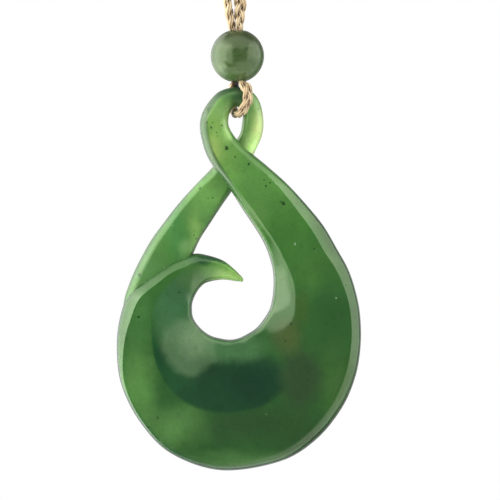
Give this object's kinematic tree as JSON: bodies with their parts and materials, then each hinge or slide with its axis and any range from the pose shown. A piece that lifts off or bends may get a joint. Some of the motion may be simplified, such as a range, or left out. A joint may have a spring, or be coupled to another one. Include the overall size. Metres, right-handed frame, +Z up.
{
  "type": "jade twist pendant on a plaited cord",
  "caption": "Carved green stone pendant: a strand that crosses over itself under an eye and ends in an inward hook, on a plaited cord loop with a round bead.",
  "frame": {"origin": "inside of the cord loop's top, on the underside of the knot, where the necklace hangs", "axes": "+Z up along the hanging necklace, +X to the viewer's right, +Y away from the viewer; the pendant's front faces -Y"},
  "size_m": [0.0372, 0.008, 0.2982],
  "materials": {
    "pendant_jade": "polished, translucent, green with darker cloud and small dark flecks",
    "bead_jade": "polished, nearly opaque grey green",
    "plaited_cord": "three-ply flat plait of waxed cream thread",
    "knot_thread": "wound waxed thread"
  },
  "bodies": {
    "necklace": {"cord": "plaited_cord", "bead": "bead_jade", "knot": "knot_thread"},
    "pendant": {"pendant": "pendant_jade"}
  },
  "joints": [
    {"name": "pendant_swing", "type": "hinge", "parent": "necklace", "child": "pendant", "pos_m": [0, 0, -0.23815], "axis": [1, 0, 0], "range_deg": [-25, 25]}
  ]
}
